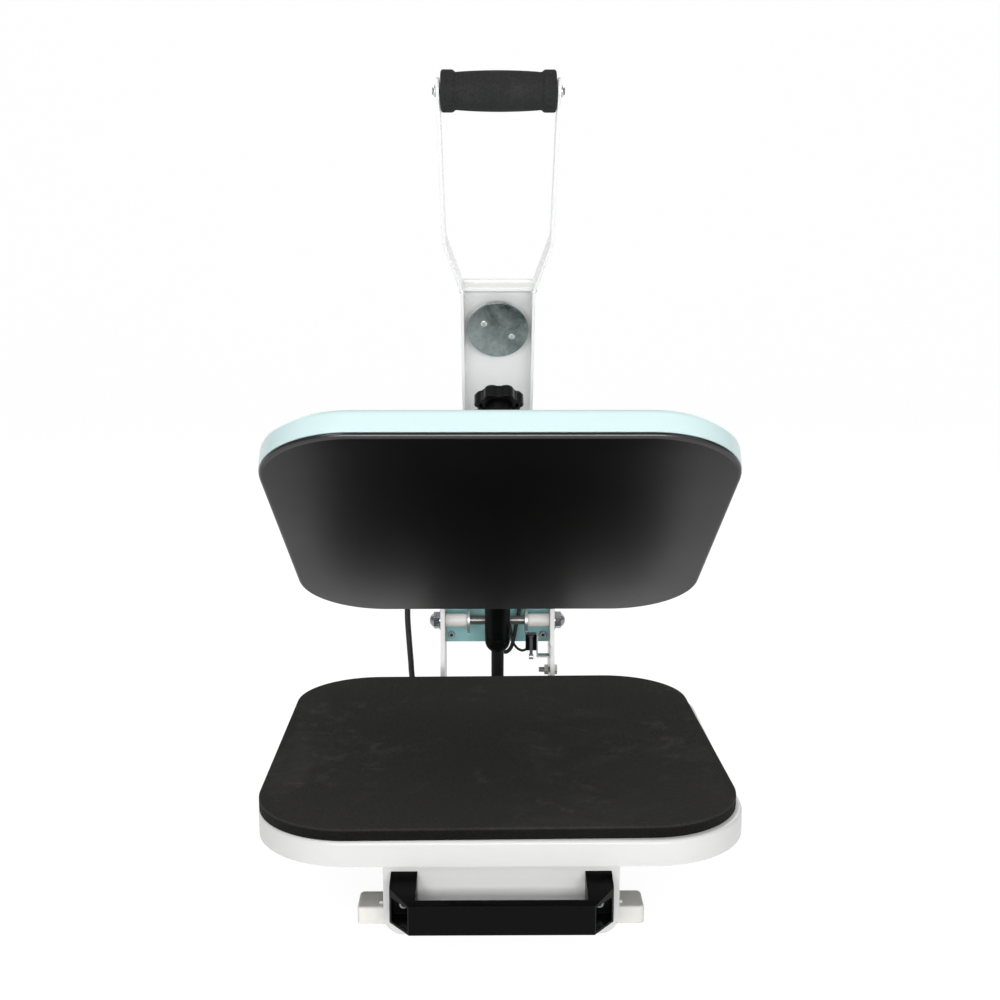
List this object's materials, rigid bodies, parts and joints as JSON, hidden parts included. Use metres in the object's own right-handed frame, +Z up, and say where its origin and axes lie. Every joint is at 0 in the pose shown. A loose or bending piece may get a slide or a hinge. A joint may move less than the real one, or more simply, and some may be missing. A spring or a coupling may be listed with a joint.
{
  "type": "heat press",
  "caption": "Clamshell flat heat press with a square heated plate on a lift arm, a toggle handle, a soft pad on a pull out lower plate, and a control box behind.",
  "frame": {"origin": "on the table under the middle of the press's bounding box, measured without the free cord, its coil and its plug", "axes": "+Z up from the table, -Y towards the user and the drawer's pull, +X to the user's right"},
  "size_m": [0.3894, 0.699, 0.6908],
  "materials": {
    "mint_paint": "gloss powder coat",
    "white_paint": "gloss powder coat",
    "platen_black": "satin non-stick coating",
    "zinc": "zinc plated",
    "bright_steel": "polished",
    "dark_steel": "oiled",
    "gas_black": "gloss",
    "pad_rubber": "fine grained sponge",
    "grip_foam": "foam",
    "black_plastic": "moulded",
    "grey_plastic": "moulded",
    "white_nylon": "turned",
    "feet_rubber": "moulded",
    "window_red": "tinted",
    "board_green": "printed board",
    "mat_glass": "woven glass",
    "cord_black": "matt",
    "brass": "turned"
  },
  "bodies": {
    "base": {"base_tray": "white_paint", "rubber_feet": "feet_rubber", "left_upright": "white_paint", "right_upright": "white_paint", "hinge_shaft": "dark_steel", "link_axle": "dark_steel", "acorn_nuts": "zinc", "nylon_spacers": "white_nylon", "frame_screws": "zinc", "rear_plate": "mint_paint", "control_box": "mint_paint", "control_back": "mint_paint", "control_panel": "black_plastic", "display_window": "window_red", "rocker_housing": "black_plastic", "circuit_board": "board_green", "cord_gland": "black_plastic", "mains_cord": "cord_black", "cord_coil": "cord_black", "mains_plug": "cord_black", "spring_bracket": "white_paint", "limit_switch": "black_plastic", "limit_bracket": "zinc", "switch_wires": "cord_black", "fixed_rails": "zinc"},
    "timer_button": {"button_timer": "grey_plastic"},
    "heat_button": {"button_heat": "grey_plastic"},
    "up_button": {"button_up": "grey_plastic"},
    "down_button": {"button_down": "grey_plastic"},
    "power_rocker": {"rocker": "black_plastic"},
    "switch_lever": {"limit_lever": "bright_steel"},
    "slide_middles": {"mid_rails": "zinc"},
    "drawer": {"drawer_rails": "zinc", "drawer_frame": "white_paint", "lower_plate": "white_paint", "pad": "pad_rubber", "front_panel": "white_paint", "pull_handle": "black_plastic", "pull_screws": "zinc"},
    "arm": {"lift_arm": "white_paint", "arm_pins": "zinc", "electromagnet": "zinc", "pressure_nut": "brass"},
    "platen": {"heat_platen": "platen_black", "heating_element": "dark_steel", "insulation_mat": "mat_glass", "platen_cover": "mint_paint", "platen_hanger": "zinc"},
    "pressure_screw": {"knob": "black_plastic", "spindle": "bright_steel"},
    "handle": {"handle_channel": "white_paint", "handle_bars": "white_paint", "grip_core": "zinc", "foam_grip": "grip_foam", "grip_screws": "bright_steel", "armature_disc": "zinc", "link_pins": "zinc"},
    "links": {"link_plates": "zinc"},
    "spring_body": {"gas_cylinder": "gas_black"},
    "spring_rod": {"gas_rod": "gas_black"}
  },
  "joints": [
    {"name": "arm_hinge", "type": "hinge", "parent": "base", "child": "arm", "pos_m": [0, 0.1941, 0.1971], "axis": [1, 0, 0], "range_deg": [0, 33.44], "stiffness_Nm_per_rad": 16, "springref_deg": -148.97},
    {"name": "handle_hinge", "type": "hinge", "parent": "arm", "child": "handle", "pos_m": [0, 0.23409, 0.24967], "axis": [1, 0, 0], "range_deg": [0, 28.7]},
    {"name": "link_hinge", "type": "hinge", "parent": "base", "child": "links", "pos_m": [0, 0.1985, 0.1274], "axis": [1, 0, 0], "range_deg": [0, 7.8]},
    {"name": "spring_hinge", "type": "hinge", "parent": "arm", "child": "spring_body", "pos_m": [0, 0.14396, 0.24567], "axis": [1, 0, 0], "range_deg": [-26, 0]},
    {"name": "spring_stroke", "type": "slide", "parent": "spring_body", "child": "spring_rod", "axis": [0, -0.2022, 0.9793], "range_m": [0, 0.03]},
    {"name": "platen_lift", "type": "slide", "parent": "arm", "child": "platen", "axis": [0, 0.5511, 0.8345], "range_m": [0, 0.006]},
    {"name": "pressure_turn", "type": "hinge", "parent": "platen", "child": "pressure_screw", "pos_m": [0, -0.04607, 0.38435], "axis": [0, 0.5511, 0.8345], "range_deg": [0, 721]},
    {"name": "drawer_slide", "type": "slide", "parent": "base", "child": "drawer", "axis": [0, -1, 0], "range_m": [0, 0.19]},
    {"name": "slide_middle", "type": "slide", "parent": "base", "child": "slide_middles", "axis": [0, -1, 0], "range_m": [0, 0.095]},
    {"name": "press_timer", "type": "slide", "parent": "base", "child": "timer_button", "axis": [0, 0.6402, -0.7682], "range_m": [0, 0.0015], "stiffness_N_per_m": 600, "springref_m": -0.001},
    {"name": "press_heat", "type": "slide", "parent": "base", "child": "heat_button", "axis": [0, 0.6402, -0.7682], "range_m": [0, 0.0015], "stiffness_N_per_m": 600, "springref_m": -0.001},
    {"name": "press_up", "type": "slide", "parent": "base", "child": "up_button", "axis": [0, 0.6402, -0.7682], "range_m": [0, 0.0015], "stiffness_N_per_m": 600, "springref_m": -0.001},
    {"name": "press_down", "type": "slide", "parent": "base", "child": "down_button", "axis": [0, 0.6402, -0.7682], "range_m": [0, 0.0015], "stiffness_N_per_m": 600, "springref_m": -0.001},
    {"name": "power_switch", "type": "hinge", "parent": "base", "child": "power_rocker", "pos_m": [0.125, 0.2935, 0.198], "axis": [0, 0, 1], "range_deg": [-14, 0]},
    {"name": "lever_press", "type": "hinge", "parent": "base", "child": "switch_lever", "pos_m": [0.037, 0.1615, 0.1185], "axis": [1, 0, 0], "range_deg": [-4, 0], "stiffness_Nm_per_rad": 0.02, "springref_deg": 8.59}
  ],
  "couplings": [
    {"joint": "handle_hinge", "follows": "arm_hinge", "ratio": 0.85706},
    {"joint": "link_hinge", "follows": "arm_hinge", "ratio": 0.23136},
    {"joint": "spring_hinge", "follows": "arm_hinge", "ratio": -0.76588},
    {"joint": "spring_stroke", "follows": "arm_hinge", "m_per_rad": 0.048668},
    {"joint": "pressure_turn", "follows": "platen_lift", "rad_per_m": 2094.4},
    {"joint": "slide_middle", "follows": "drawer_slide", "ratio": 0.5}
  ]
}
